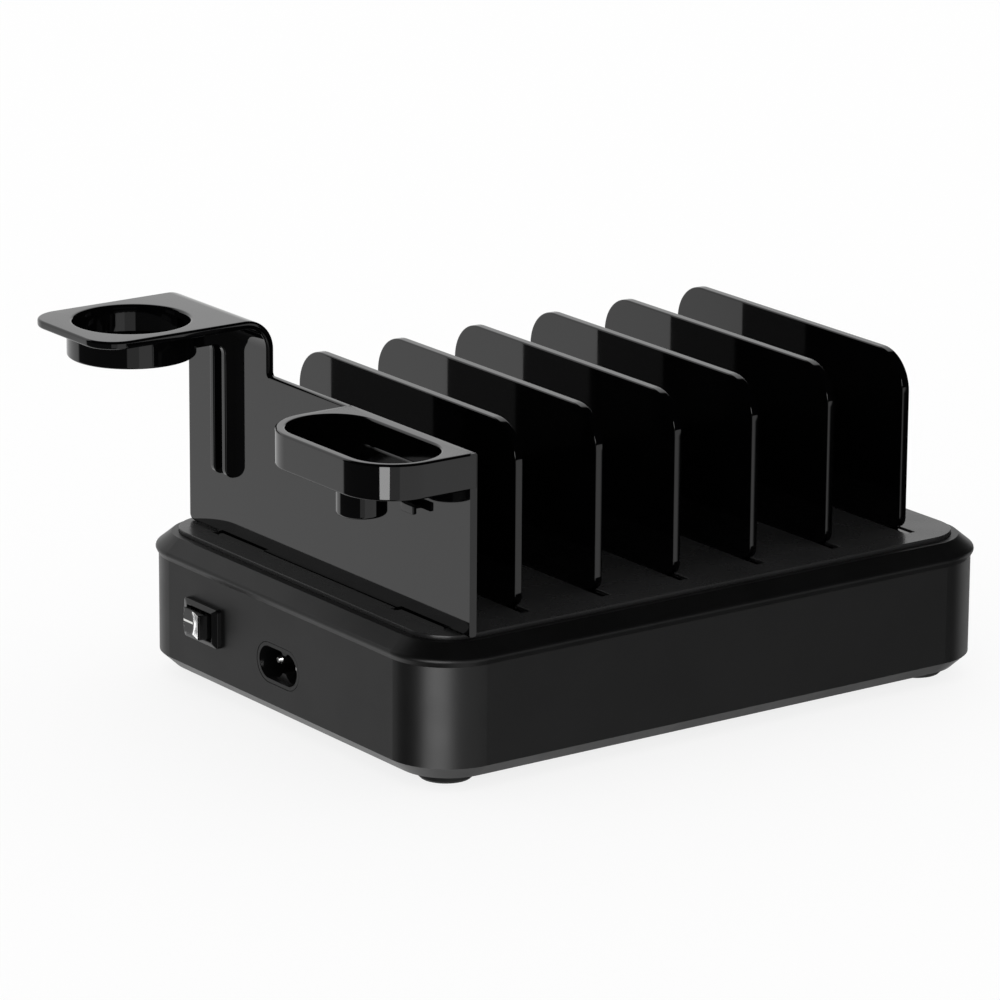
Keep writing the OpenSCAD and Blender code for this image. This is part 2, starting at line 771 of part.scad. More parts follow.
module power_board_places() {
    for (sx = [-1, 1], sy = [-1, 1]) translate([power_x + sx*(power_l/2 - board_hole_in),
        power_y + sy*(power_w/2 - board_hole_in), 0]) children();
}

module power_board() color(board_green) translate(placed) difference() {
    upright(power_z + 0.02, power_top) translate([power_x, power_y]) square([power_l, power_w], center = true);
    power_board_places() upright(power_z - past, power_top + past) circle(board_screw_r + set_gap);
}

module power_board_screws() color(steel) translate(placed) power_board_places() board_screw(power_top);

// Gap of the solder joints under the parts on the board
lead_gap = 0.05;

core_l = 26;
core_w = 14;
core_h = 13.6;
core_bar = 2.8;
core_side = 3.5;
leg_r = 3.8;
coil_r = 8.2;
flange_t = 1;
coil_gap = 0.1;
core_x = power_x + 4;
core_y = power_y - 6;
module at_core() {
    translate([core_x, core_y, power_top + 0.3]) children();
}

module transformer_core() color(ferrite) translate(placed) at_core() {
    upright(0, core_bar) square([core_l, core_w], center = true);
    upright(core_h - core_bar, core_h) square([core_l, core_w], center = true);
    for (s = [-1, 1]) translate([s*(core_l - core_side)/2, 0, 0]) upright(0, core_h)
        square([core_side, core_w], center = true);
    cylinder(h = core_h, r = leg_r);
}

module transformer_winding() color(tape_yellow) translate(placed) at_core() difference() {
    low = core_bar + coil_gap;
    high = core_h - core_bar - coil_gap;
    union() {
        upright(low, high) circle(coil_r);
        upright(low, low + flange_t) circle(coil_r + 1);
        upright(high - flange_t, high) circle(coil_r + 1);
    }
    upright(low - past, high + past) circle(leg_r + coil_gap);
}

// Capacitors that lie on the board, along Y
mains_cap_r = 6.3;
mains_cap_l = 22;
mains_cap_pitch = 15;
mains_cap_in = 26;
mains_cap_down = 29;
crimp = 0.4;
module mains_capacitors() color(satin_black) translate(placed) for (i = [0, 1])
    translate([power_right - mains_cap_in + mains_cap_pitch*i, power_back - mains_cap_down,
        power_top + mains_cap_r + lead_gap])
        rotate([90, 0, 0]) capacitor(mains_cap_r, mains_cap_l);

output_cap_r = 4;
output_cap_l = 11.5;
output_cap_pitch = 10;
output_cap_in = 18;
output_cap_up = 17;
module output_capacitors() color(satin_black) translate(placed) for (i = [0, 1, 2])
    translate([power_left + output_cap_in + output_cap_pitch*i, power_front + output_cap_up,
        power_top + output_cap_l/2 + lead_gap])
        rotate([180, 0, 0]) capacitor(output_cap_r, output_cap_l);

// Round can about its middle, with the crimped groove near one end
module capacitor(r, l) {
    rotate_extrude() polygon([[0, -l/2], [r - crimp, -l/2], [r, crimp - l/2], [r, l/2 - 5*crimp],
        [r - crimp, l/2 - 4*crimp], [r, l/2 - 3*crimp], [r, l/2 - crimp], [r - crimp, l/2], [0, l/2]]);
}

choke_r = 4.2;
choke_wire = 1.9;
module line_choke() color(copper) translate(placed)
    translate([power_right - 16, power_front + 15, power_top + choke_r + choke_wire + lead_gap])
        rotate([90, 0, 0]) rotate_extrude() translate([choke_r, 0]) circle(choke_wire);

suppressor_l = 13;
suppressor_w = 7;
suppressor_h = 11;
module suppressor() color(tape_yellow) translate(placed)
    translate([power_right - 10, power_back - 10, 0]) upright(power_top + lead_gap, power_top + suppressor_h)
        rounded_rect(suppressor_l, suppressor_w, 0.8);

sink_l = 22;
sink_h = 13.5;
sink_t = 1.6;
sink_fin = 5.2;
sink_y = power_back - 15;
sink_in = 26;
sink_pitch = 22;
sink_x = [power_left + sink_in, power_left + sink_in + sink_pitch];
module heat_sinks() color(steel) translate(placed) for (x = sink_x)
    translate([x, sink_y, 0]) upright(power_top + lead_gap, power_top + sink_h) {
        square([sink_t, sink_l], center = true);
        for (s = [-1, 1]) translate([0, s*(sink_l - sink_t)/2 - sink_t/2]) square([sink_fin, sink_t]);
    }

transistor_w = 10;
transistor_t = 3;
module power_transistors() color(satin_black) translate(placed) for (x = sink_x)
    translate([x + sink_t/2 + 0.02, sink_y - transistor_w/2, power_top + 1])
        cube([transistor_t, transistor_w, transistor_w]);

module mains_wires() color(satin_black) translate(placed) {
    tag_x = wall_x - inlet_block - 5.05;
    lug_x = wall_x - switch_deep - 6.05;
    board_x = power_right - 5;
    pin_y = pin_pitch/2;
    lug_y = -switch_y + terminal_pitch/2;
    far_y = -switch_y - terminal_pitch/2;
    land_y = power_front + 14.5;
    // Straight from the inlet to the board
    wire([[tag_x, pin_y, inlet_z], [board_x, pin_y, inlet_z], [board_x, pin_y, power_top + 0.05]], 0.9);
    // From the inlet to the switch
    wire([[tag_x, -pin_y, inlet_z], [tag_x - 3, -pin_y, inlet_z], [tag_x - 3, -pin_y, switch_z],
        [tag_x - 3, lug_y, switch_z], [lug_x, lug_y, switch_z]], 0.9);
    // From the switch to the board
    wire([[lug_x, far_y, switch_z], [lug_x - 8, far_y, switch_z], [lug_x - 8, land_y, switch_z],
        [board_x, land_y, switch_z], [board_x, land_y, power_top + 0.05]], 0.9);
}

module board_wires() color("firebrick") translate(placed) for (i = [0:3]) {
    x = outlet_mid - 20 + 4*i;
    top = outlet_board_z + board_t + 0.05;
    from_y = outlet_board_y + outlet_board_w/2 - 3;
    to_y = power_front + 2.5;
    wire([[x, from_y, top], [x, from_y, top + 4], [x, to_y, top + 4], [x, to_y, power_top + 0.05]], 0.8);
}

bottom_case();
top_cover();
top_plate();
foot(1, 1);  // foot_1
foot(-1, 1);  // foot_2
foot(-1, -1);  // foot_3
foot(1, -1);  // foot_4
case_screws();
divider(1);  // divider_1
divider(2);  // divider_2
divider(3);  // divider_3
divider(4);  // divider_4
divider(5);  // divider_5
divider(6);  // divider_6
accessory_holder();
switch_frame();
switch_rocker();
switch_terminals();
inlet_body();
inlet_pins();
outlet_shell(1);  // outlet_shell_1
outlet_shell(2);  // outlet_shell_2
outlet_shell(3);  // outlet_shell_3
outlet_shell(4);  // outlet_shell_4
outlet_shell(5);  // outlet_shell_5
outlet_shell(6);  // outlet_shell_6
outlet_tongues();
outlet_board();
outlet_board_screws();
power_board();
power_board_screws();
transformer_core();
transformer_winding();
mains_capacitors();
output_capacitors();
line_choke();
suppressor();
heat_sinks();
power_transistors();
mains_wires();
board_wires();
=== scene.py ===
import bpy
import bmesh
from math import pi, radians, sin, cos
from mathutils import Matrix, Vector


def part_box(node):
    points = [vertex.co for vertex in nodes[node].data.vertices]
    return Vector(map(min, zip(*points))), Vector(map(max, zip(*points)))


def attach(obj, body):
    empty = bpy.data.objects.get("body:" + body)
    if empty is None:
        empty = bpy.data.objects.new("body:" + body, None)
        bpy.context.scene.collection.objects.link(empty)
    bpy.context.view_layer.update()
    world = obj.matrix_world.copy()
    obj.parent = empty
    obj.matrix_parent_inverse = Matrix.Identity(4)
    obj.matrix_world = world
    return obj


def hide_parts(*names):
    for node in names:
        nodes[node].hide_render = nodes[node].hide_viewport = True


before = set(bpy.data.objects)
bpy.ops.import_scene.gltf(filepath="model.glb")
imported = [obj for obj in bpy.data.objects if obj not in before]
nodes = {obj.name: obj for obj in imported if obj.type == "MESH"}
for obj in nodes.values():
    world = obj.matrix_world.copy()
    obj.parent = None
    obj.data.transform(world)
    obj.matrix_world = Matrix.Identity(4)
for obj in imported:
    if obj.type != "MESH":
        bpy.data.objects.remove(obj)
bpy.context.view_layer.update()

# Pieces are drawn in millimetres from the middle of the base on the table, then brought into the frame
caseLow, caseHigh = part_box("bottom_case")
toFrame = Matrix.Translation(((caseLow.x + caseHigh.x) / 2, 0, 0)) @ Matrix.Scale(0.001, 4)

# Shapes drawn flat are stood up: drawn in Y and Z and rising along X, or in X and Z and rising along -Y
sideways = Matrix(((0, 0, 1, 0), (1, 0, 0, 0), (0, 1, 0, 0), (0, 0, 0, 1)))
fromSide = Matrix(((1, 0, 0, 0), (0, 0, -1, 0), (0, 1, 0, 0), (0, 0, 0, 1)))

# camera, floor and light
shot = {
    "azimuth": 144.2642,    # degrees, 0 looks along +Y
    "elevation": 16.0657,
    "roll": 0.3822,
    "lens": 210.15,         # mm
    "sensor": 36,           # mm
    "sight": 20,            # m
    "place": (0.812227, 1.124323, 0.446366),
}

studio = {
    "white": 1.03,          # what the camera and matt surfaces see all round
    "floorSize": 6.0,       # m
    "floorTone": 0.14,
    "floorGlow": 0.83,
}

# What polished surfaces mirror: azimuth from +X and elevation in degrees, with soft edges
panels = [
    {"azimuth": (-150, -50), "elevation": (-100, 45), "soft": 3, "power": 0.94},
    {"azimuth": (71, 128), "elevation": (-100, -2), "soft": 0.7, "power": 0.82},
    {"azimuth": (50, 71), "elevation": (-40, -2), "soft": 1, "power": 0.55},
    {"azimuth": (-50, 50), "elevation": (-60, -2), "soft": 3, "power": 0.05},
]

# Small strong lights, each caught by a few pieces only: where it is seen and how wide, in degrees
glints = {
    "stripLight": {"azimuth": 42, "elevation": -14, "width": 19, "power": 0.58,
                   "pieces": ["earbudPocket"]},
    "cornerLight": {"azimuth": 37, "elevation": -14, "width": 46, "power": 2.6,
                    "pieces": ["bottom_case", "top_cover", "topPlate"]},
    "farCornerLight": {"azimuth": 182, "elevation": -14, "width": 40, "power": 0.28,
                       "pieces": ["bottom_case", "top_cover"]},
    "tipLight": {"azimuth": 42, "elevation": 8, "width": 16, "power": 0.4,
                 "pieces": ["dividerPlate%d" % number for number in range(1, 7)]},
    "rockerLight": {"azimuth": -84, "elevation": -14, "width": 11, "power": 0.25,
                    "pieces": ["rockerCap"]},
    "pinLight": {"azimuth": 54, "elevation": 16, "width": 20, "power": 1.2,
                 "pieces": ["inlet_pins"]},
}


class Wire:
    # the output of a shader node, which sums can be written with
    def __init__(self, tree, socket=None):
        self.tree = tree
        self.socket = socket

    def node(self, kind, settings=None, values=None, out=0):
        made = self.tree.nodes.new(kind)
        for name, value in (settings or {}).items():
            setattr(made, name, value)
        for name, value in (values or {}).items():
            if isinstance(value, Wire):
                self.tree.links.new(value.socket, made.inputs[name])
            else:
                made.inputs[name].default_value = value
        return Wire(self.tree, made.outputs[out])

    def maths(self, operation, first, second=0.0):
        return self.node("ShaderNodeMath", {"operation": operation}, {0: first, 1: second})

    def __add__(self, other):
        return self.maths("ADD", self, other)

    def __sub__(self, other):
        return self.maths("SUBTRACT", self, other)

    def __rsub__(self, other):
        return self.maths("SUBTRACT", other, self)

    def __mul__(self, other):
        return self.maths("MULTIPLY", self, other)

    __radd__ = __add__
    __rmul__ = __mul__

    def step(self, low, high, start=0.0, end=1.0):
        # smooth rise from start to end as the value goes from low to high
        ends = {"Value": self, "From Min": low, "From Max": high, "To Min": start, "To Max": end}
        return self.node("ShaderNodeMapRange", {"interpolation_type": "SMOOTHSTEP"}, ends)


def makeCamera():
    camera = bpy.data.objects.new("camera", bpy.data.cameras.new("camera"))
    bpy.context.scene.collection.objects.link(camera)
    camera.data.sensor_width = shot["sensor"]
    camera.data.lens = shot["lens"]
    camera.data.clip_end = shot["sight"]
    turn = (Matrix.Rotation(radians(shot["azimuth"]), 4, "Z")
            @ Matrix.Rotation(radians(90 - shot["elevation"]), 4, "X")
            @ Matrix.Rotation(radians(shot["roll"]), 4, "Z"))
    camera.matrix_world = Matrix.Translation(shot["place"]) @ turn
    bpy.context.scene.camera = camera


def makeFloor():
    bm = bmesh.new()
    bmesh.ops.create_grid(bm, x_segments=1, y_segments=1, size=studio["floorSize"] / 2)
    mesh = bpy.data.meshes.new("floor")
    bm.to_mesh(mesh)
    bm.free()
    floor = bpy.data.objects.new("floor", mesh)
    bpy.context.scene.collection.objects.link(floor)
    floor.visible_glossy = False
    floor.visible_shadow = False
    tone = studio["floorTone"]
    mesh.materials.append(makePaint("palePaper", (tone, tone, tone), 0.9, glow=studio["floorGlow"])[0])


def makeWorld():
    world = bpy.data.worlds.new("studio")
    world.use_nodes = True
    sky = world.node_tree.nodes["Background"]
    sky.inputs["Color"].default_value = (1, 1, 1, 1)
    start = Wire(world.node_tree)
    ray = start.node("ShaderNodeTexCoord", out="Generated")
    x, y, z = [start.node("ShaderNodeSeparateXYZ", None, {0: ray}, out=side) for side in "XYZ"]
    azimuth = start.maths("ARCTAN2", y, x) * (180 / pi)
    elevation = start.maths("ARCSINE", z) * (180 / pi)
    mirrored = 0.0
    for panel in panels:
        soft = panel["soft"]
        part = panel["power"]
        for angle, (low, high) in ((azimuth, panel["azimuth"]), (elevation, panel["elevation"])):
            part = part * angle.step(low - soft, low + soft)
            part = part * angle.step(high - soft, high + soft, 1.0, 0.0)
        mirrored = part + mirrored
    glossy = start.node("ShaderNodeLightPath", out="Is Glossy Ray")
    power = mirrored * glossy + studio["white"] * (1 - glossy)  # panels show in mirrors only
    world.node_tree.links.new(power.socket, sky.inputs["Strength"])
    bpy.context.scene.world = world


def makeGlint(name):
    glint = glints[name]
    light = bpy.data.objects.new(name, bpy.data.lights.new(name, "SUN"))
    bpy.context.scene.collection.objects.link(light)
    light.data.energy = glint["power"]
    light.data.angle = radians(glint["width"])
    around, up = radians(glint["azimuth"]), radians(glint["elevation"])
    seen = Vector((cos(around) * cos(up), sin(around) * cos(up), sin(up)))
    light.matrix_world = seen.to_track_quat("Z", "Y").to_matrix().to_4x4()
    light.visible_diffuse = False
    caught = bpy.data.collections.new(name)
    for piece in glint["pieces"]:
        caught.objects.link(bpy.data.objects[piece])
    light.light_linking.receiver_collection = caught


# finishes
def makePaint(name, tone, rough, metal=0.0, glow=0.0, sockets=None):
    paint = bpy.data.materials.new(name)
    paint.use_nodes = True
    shader = paint.node_tree.nodes["Principled BSDF"]
    start = Wire(paint.node_tree)
    values = {"Base Color": (*tone, 1), "Roughness": rough, "Metallic": metal}
    if glow:
        values["Emission Color"] = (1, 1, 1, 1)
        values["Emission Strength"] = glow
    for socket, value in {**values, **(sockets or {})}.items():
        shader.inputs[socket].default_value = value
    return paint, start, shader


def link(start, value, shader, socket):
    start.tree.links.new(value.socket, shader.inputs[socket])


def onPiece(start):
    return start.node("ShaderNodeTexCoord", out="Object")


def noise(start, scale, detail, place=None):
    values = {"Vector": place or onPiece(start), "Scale": scale, "Detail": detail}
    return start.node("ShaderNodeTexNoise", None, values, out="Fac")


def bands(start, direction, values):
    settings = {"wave_type": "BANDS", "bands_direction": direction}
    return start.node("ShaderNodeTexWave", settings, {"Vector": onPiece(start), **values}, out="Fac")


def blend(start, share, first, second):
    # 6, 7 and 2 are a Mix node's sockets for colours
    values = {0: share, 6: (*first, 1), 7: (*second, 1)}
    return start.node("ShaderNodeMix", {"data_type": "RGBA"}, values, out=2)


def bump(start, shader, height, depth):
    made = start.node("ShaderNodeBump", None, {"Height": height, "Distance": depth})
    link(start, made, shader, "Normal")


# How fine each pattern is, as a noise scale per metre
patterns = {
    "cloud": 40, "handled": 110, "wave": 22, "spots": 500, "grit": 3000,
    "drawn": (4000, 60, 4000), "tracks": 110, "trackBreaks": 60, "boardWear": 300, "turnWear": 400,
    "oneBand": 314,  # the scale at which a band is 1 mm wide
}

moulding = {
    # tone, second tone, roughness and its swing, grain size and depth in mm, wave depth in mm
    "casePlastic": ((0.0018, 0.0018, 0.0019), (0.0026, 0.0026, 0.0027), 0.4, 0.03, 0.16, 0.006, 0.0),
    "glossPlastic": ((0.0005, 0.0005, 0.0006), (0.0009, 0.0009, 0.001), 0.045, 0.02, 0.0, 0.0, 0.0015),
    "platePlastic": ((0.014, 0.014, 0.0142), (0.017, 0.017, 0.0173), 0.27, 0.04, 0.12, 0.002, 0.0),
    "switchPlastic": ((0.002, 0.002, 0.0021), (0.0028, 0.0028, 0.0029), 0.12, 0.04, 0.12, 0.002, 0.0),
    "footRubber": ((0.008, 0.008, 0.008), (0.014, 0.014, 0.014), 0.72, 0.1, 0.3, 0.02, 0.0),
    "transistorPlastic": ((0.01, 0.01, 0.01), (0.02, 0.02, 0.021), 0.5, 0.08, 0.2, 0.01, 0.0),
    "sleeve": ((0.02, 0.025, 0.05), (0.03, 0.035, 0.07), 0.28, 0.08, 0.4, 0.01, 0.0),
    "blackWire": ((0.012, 0.012, 0.012), (0.02, 0.02, 0.02), 0.42, 0.08, 0.3, 0.01, 0.0),
    "redWire": ((0.35, 0.012, 0.008), (0.45, 0.03, 0.02), 0.38, 0.08, 0.3, 0.01, 0.0),
    "whiteMark": ((0.8, 0.8, 0.78), (0.74, 0.74, 0.72), 0.5, 0.1, 0.1, 0.004, 0.0),
    "ferriteGrey": ((0.03, 0.03, 0.033), (0.06, 0.06, 0.065), 0.6, 0.15, 0.25, 0.03, 0.0),
}


def mouldedPlastic(name, sockets=None):
    tone, other, rough, swing, grain, deep, wave = moulding[name]
    paint, start, shader = makePaint(name, tone, rough, sockets=sockets)
    broad = noise(start, patterns["cloud"], 3)
    link(start, blend(start, broad.step(0.35, 0.65), tone, other), shader, "Base Color")
    handled = noise(start, patterns["handled"], 4)
    link(start, handled.step(0.3, 0.7, rough - swing / 2, rough + swing / 2), shader, "Roughness")
    if grain:
        bump(start, shader, noise(start, 1000 / grain, 1), deep * 0.001)
    else:
        bump(start, shader, noise(start, patterns["wave"], 0), wave * 0.001)
    return paint


def brightMetal(name, tone, dull, rough):
    paint, start, shader = makePaint(name, tone, rough, metal=1.0)
    spots = noise(start, patterns["spots"], 4)
    link(start, blend(start, spots.step(0.4, 0.75), tone, dull), shader, "Base Color")
    link(start, spots.step(0.3, 0.7, rough, rough * 1.8), shader, "Roughness")
    bump(start, shader, noise(start, patterns["grit"], 2), 0.000006)
    return paint


def brushedMetal(name, tone, dull, rough):
    paint, start, shader = makePaint(name, tone, rough, metal=1.0)
    values = {"Vector": onPiece(start), "Scale": patterns["drawn"]}
    drawn = start.node("ShaderNodeMapping", None, values)
    lines = noise(start, 1, 3, drawn)
    link(start, blend(start, lines.step(0.3, 0.7), tone, dull), shader, "Base Color")
    link(start, lines.step(0.3, 0.7, rough, rough * 1.5), shader, "Roughness")
    bump(start, shader, lines, 0.00001)
    return paint


def greenBoard(name, mask, track, rough):
    # solder mask over faint copper tracks
    paint, start, shader = makePaint(name, mask, rough)
    rows = bands(start, "Y", {"Scale": patterns["tracks"], "Distortion": 3, "Detail": 0,
                              "Detail Scale": 0.6})
    tracks = rows.step(0.62, 0.68) * noise(start, patterns["trackBreaks"], 0).step(0.45, 0.5)
    link(start, blend(start, tracks, mask, track), shader, "Base Color")
    worn = noise(start, patterns["boardWear"], 3)
    link(start, worn.step(0.3, 0.7, rough * 0.8, rough * 1.2), shader, "Roughness")
    bump(start, shader, tracks, 0.00004)
    return paint


def windingPaint(name, tone, other, pitch, direction, rough, metal=0.0):
    # turns of tape or wire that lie side by side
    paint, start, shader = makePaint(name, tone, rough, metal=metal)
    turns = bands(start, direction, {"Scale": patterns["oneBand"] / pitch, "Distortion": 0.4})
    link(start, blend(start, turns.step(0.1, 0.6), other, tone), shader, "Base Color")
    worn = noise(start, patterns["turnWear"], 3)
    link(start, worn.step(0.3, 0.7, rough * 0.8, rough * 1.3), shader, "Roughness")
    bump(start, shader, turns, 0.00008)
    return paint


# mesh helpers
making = {
    "weld": 0.002,          # mm, dots nearer than this are one
    "sharp": 48,            # degrees, edges that turn more stay sharp in the shading
    "soften": 50,           # degrees, edges that turn more can be rounded
}


def pick(parts, kind):
    return [part for part in parts if isinstance(part, kind)]


def roundCorner(bm, dot, radius, parts):
    bmesh.ops.bevel(bm, geom=[dot], affect="VERTICES", offset=radius, segments=parts, profile=0.5,
                    material=-1)


def outline(bm, points, radii, parts=8):
    # closed wire through the points, with each corner rounded
    before = set(bm.edges)
    dots = [bm.verts.new(point) for point in points]
    for dot, following in zip(dots, dots[1:] + dots[:1]):
        bm.edges.new((dot, following))
    for dot, radius in zip(dots, radii):
        if radius:
            roundCorner(bm, dot, radius, parts)
    return [edge for edge in bm.edges if edge not in before]


def ring(bm, low, high, height, radii, parts=8):
    points = [(low[0], low[1], height), (high[0], low[1], height),
              (high[0], high[1], height), (low[0], high[1], height)]
    return outline(bm, points, radii, parts)


def loft(bm, rings):
    for one, other in zip(rings, rings[1:]):
        bmesh.ops.bridge_loops(bm, edges=one + other)


def softenEdges(bm, edges, width, parts=3):
    bmesh.ops.bevel(bm, geom=edges, affect="EDGES", offset=width, segments=parts, profile=0.5,
                    material=-1, clamp_overlap=False)


def sharpEdges(bm, keep=lambda middle: True):
    found = []
    for edge in bm.edges:
        if edge.is_manifold and edge.calc_face_angle() > radians(making["soften"]):
            middle = (edge.verts[0].co + edge.verts[1].co) / 2
            if keep(middle):
                found.append(edge)
    return found


def slab(bm, points, radii, thick, parts=8):
    # flat outline made a solid of that thickness, rising from the outline's plane
    edges = outline(bm, points, radii, parts)
    face = bmesh.ops.contextual_create(bm, geom=edges)["faces"][0]
    face.normal_update()
    up = face.normal.copy()
    if up.z < 0:
        face.normal_flip()
        up.negate()
    made = bmesh.ops.extrude_face_region(bm, geom=[face], use_keep_orig=True)["geom"]
    bmesh.ops.translate(bm, verts=pick(made, bmesh.types.BMVert), vec=up * thick)


def makePiece(name, bm, paint, body, replaced=(), matrix=None):
    if matrix:
        bmesh.ops.transform(bm, matrix=matrix, verts=bm.verts)
    bmesh.ops.remove_doubles(bm, verts=bm.verts, dist=making["weld"])
    bmesh.ops.recalc_face_normals(bm, faces=bm.faces)
    bmesh.ops.transform(bm, matrix=toFrame, verts=bm.verts)
    mesh = bpy.data.meshes.new(name)
    bm.to_mesh(mesh)
    bm.free()
    mesh.shade_smooth()
    mesh.set_sharp_from_angle(angle=radians(making["sharp"]))
    mesh.materials.append(paint)
    piece = bpy.data.objects.new(name, mesh)
    bpy.context.scene.collection.objects.link(piece)
    even = piece.modifiers.new("evenShading", "WEIGHTED_NORMAL")
    even.keep_sharp = True
    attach(piece, body)
    for node in replaced:
        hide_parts(node)
    return piece


# top plate with its slots
topPlate = {
    "half": (80.9, 59.7), "radius": 10.9, "low": 35.32, "top": 37.3, "edge": 0.2, "parts": 14,
    "slot": (1.35, 49.2), "slotEdge": 0.12,
    "holderSlot": (71.4, 75.1, 73.8), "tabs": (-45.55, -25.15, 32.45, 52.85),
}


def makeTopPlate():
    p = topPlate
    bm = bmesh.new()
    edge, (x, y) = p["edge"], p["half"]
    turns = [radians(turn) for turn in (90, 60, 30, 0)]
    steps = [(edge * (1 - cos(turn)), p["top"] - edge * (1 - sin(turn))) for turn in turns]
    rim = [ring(bm, (inset - x, inset - y), (x - inset, y - inset), up,
                [p["radius"] - inset] * 4, p["parts"]) for inset, up in steps + [(0, p["low"])]]
    tops, lows = [rim[0]], [rim[-1]]
    loft(bm, rim)
    near, far, waist = p["holderSlot"]
    for number in range(divider["count"] + 1):
        walls = []
        for grow, up in ((p["slotEdge"], p["top"]), (0, p["top"] - p["slotEdge"]), (0, p["low"])):
            if number == divider["count"]:
                low, middle, high = near - grow, waist + grow, far + grow
                first, second, third, fourth = p["tabs"]
                points = [(low, first - grow), (high, first - grow), (high, second + grow),
                          (middle, second + grow), (middle, third - grow), (high, third - grow),
                          (high, fourth + grow), (low, fourth + grow)]
            else:
                middle = divider["first"] - divider["pitch"] * number
                across, along = p["slot"][0] + grow, p["slot"][1] + grow
                points = [(middle + sideX * across, divider["middle"] + sideY * along)
                          for sideX, sideY in ((-1, -1), (1, -1), (1, 1), (-1, 1))]
            walls.append(outline(bm, [(*point, up) for point in points], [0] * len(points)))
        loft(bm, walls)
        tops.append(walls[0])
        lows.append(walls[-1])
    for loops in (tops, lows):
        bmesh.ops.triangle_fill(bm, edges=sum(loops, []), use_beauty=True)
    makePiece("topPlate", bm, paints["plate"], "base", ["top_plate"])


# dividers
divider = {
    "count": 6, "first": 50.2, "pitch": 23.6, "thick": 2.3,
    "middle": 3.65, "half": 46, "foot": 37.4, "top": 82.6,
    "topRadius": 10, "lowRadius": 2.9, "neck": 43,
    "tongueHalf": 49, "tongueLow": 27.3, "tongueTop": 36.9,
    "edge": 0.36, "tongueEdge": 0.3, "parts": 14,
}


def makeDivider(number):
    d = divider
    half, neck, tongue = d["half"], d["neck"], d["tongueHalf"]
    right = [(tongue, d["tongueLow"]), (tongue, d["tongueTop"]), (neck, d["tongueTop"]),
             (neck, d["foot"]), (half, d["foot"]), (half, d["top"])]
    corners = right + [(-across, up) for across, up in reversed(right)]
    radii = [0, 0, 0, 0, d["lowRadius"], d["topRadius"]]
    points = [(d["middle"] + across, up, 0) for across, up in corners]
    bm = bmesh.new()
    slab(bm, points, radii + radii[::-1], d["thick"], d["parts"])
    # first the plate's edges, then those of the tongue under it
    softenEdges(bm, sharpEdges(bm, lambda middle: middle.y > d["foot"] - 0.02), d["edge"], 4)
    softenEdges(bm, sharpEdges(bm, lambda middle: middle.y < d["tongueTop"] - 1), d["tongueEdge"], 2)
    left = d["first"] - d["pitch"] * (number - 1) - d["thick"] / 2
    name = "divider_%d" % number
    makePiece("dividerPlate%d" % number, bm, paints["gloss"], name, [name],
              Matrix.Translation((left, 0, 0)) @ sideways)


# accessory holder: plate and arm
holder = {
    "front": 73.6, "thick": 2, "back": -58.6, "near": 62.5, "foot": 37.4, "lowRadius": 1.6,
    "lowTop": 82.1, "armNear": -22.8, "topRadius": 0.4, "innerRadius": 0.8,
    "tongueBack": -45.35, "tongueNear": 52.65, "tongueLow": 27.3,
    "bendX": 79.6, "bendZ": 88.6, "bendInner": 6, "bendParts": 14,
    "armEnd": 120.4, "armCorner": 8, "edge": 0.6, "spare": 1.2,
}

puckSeat = {
    "x": 101.2, "y": -40.7, "radius": 14.3, "collar": 15.75, "low": 88.0, "rim": 15.4,
    "lipRadius": 12.3, "lipTop": 89.6, "rimEdge": 0.65, "collarEdge": 0.5, "seatEdge": 0.4,
    "lipEdge": 0.3, "overlap": 0.2, "margin": 0.3, "gap": 13, "parts": 72,
}


